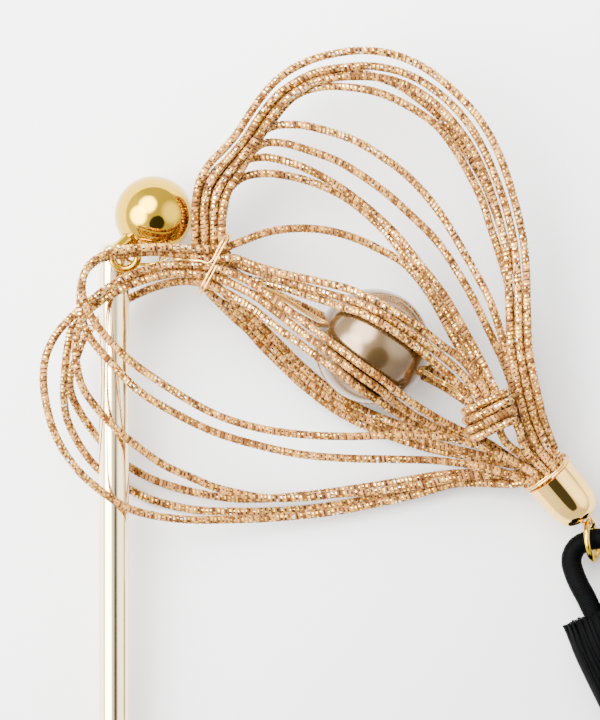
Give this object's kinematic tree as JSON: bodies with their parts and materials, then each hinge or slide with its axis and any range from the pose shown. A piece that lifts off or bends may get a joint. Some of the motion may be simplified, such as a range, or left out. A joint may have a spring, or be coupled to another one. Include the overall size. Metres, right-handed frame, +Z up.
{
  "type": "hair stick",
  "caption": "Round metal hair stick with a ball top, a looped ornament of metallic paper cords round a pearl, and a black tassel on a gold cap",
  "frame": {"origin": "middle of the bounding box in X and Y, on the floor the ornament lies on", "axes": "Y along the stick towards its ball end, Z up from the floor, X towards the tassel's side"},
  "size_m": [0.085, 0.158, 0.0134],
  "materials": {
    "stick_metal": "polished pale champagne plating",
    "gold_metal": "polished yellow gold plating",
    "gold_wire": "thin gold wire",
    "paper_cord": "twisted paper cord wound with metallic thread, rose gold",
    "pearl": "champagne pearl lustre",
    "tassel_thread": "black silky thread"
  },
  "bodies": {
    "root": {"stick": "stick_metal", "ball_top": "gold_metal", "ring_link": "gold_metal", "tie_wire": "gold_wire", "left_cord_1": "paper_cord", "left_cord_2": "paper_cord", "left_cord_3": "paper_cord", "left_cord_4": "paper_cord", "left_cord_5": "paper_cord", "left_cord_6": "paper_cord", "right_cord_1": "paper_cord", "right_cord_2": "paper_cord", "right_cord_3": "paper_cord", "right_cord_4": "paper_cord", "right_cord_5": "paper_cord", "right_cord_6": "paper_cord", "right_cord_7": "paper_cord", "right_cord_8": "paper_cord", "right_cord_9": "paper_cord", "knot_cord": "paper_cord", "pearl": "pearl", "pearl_cord": "gold_wire", "binding_wire": "gold_wire", "end_cap": "gold_metal", "jump_ring": "gold_metal", "tassel_loop": "tassel_thread", "tassel": "tassel_thread"}
  },
  "joints": []
}
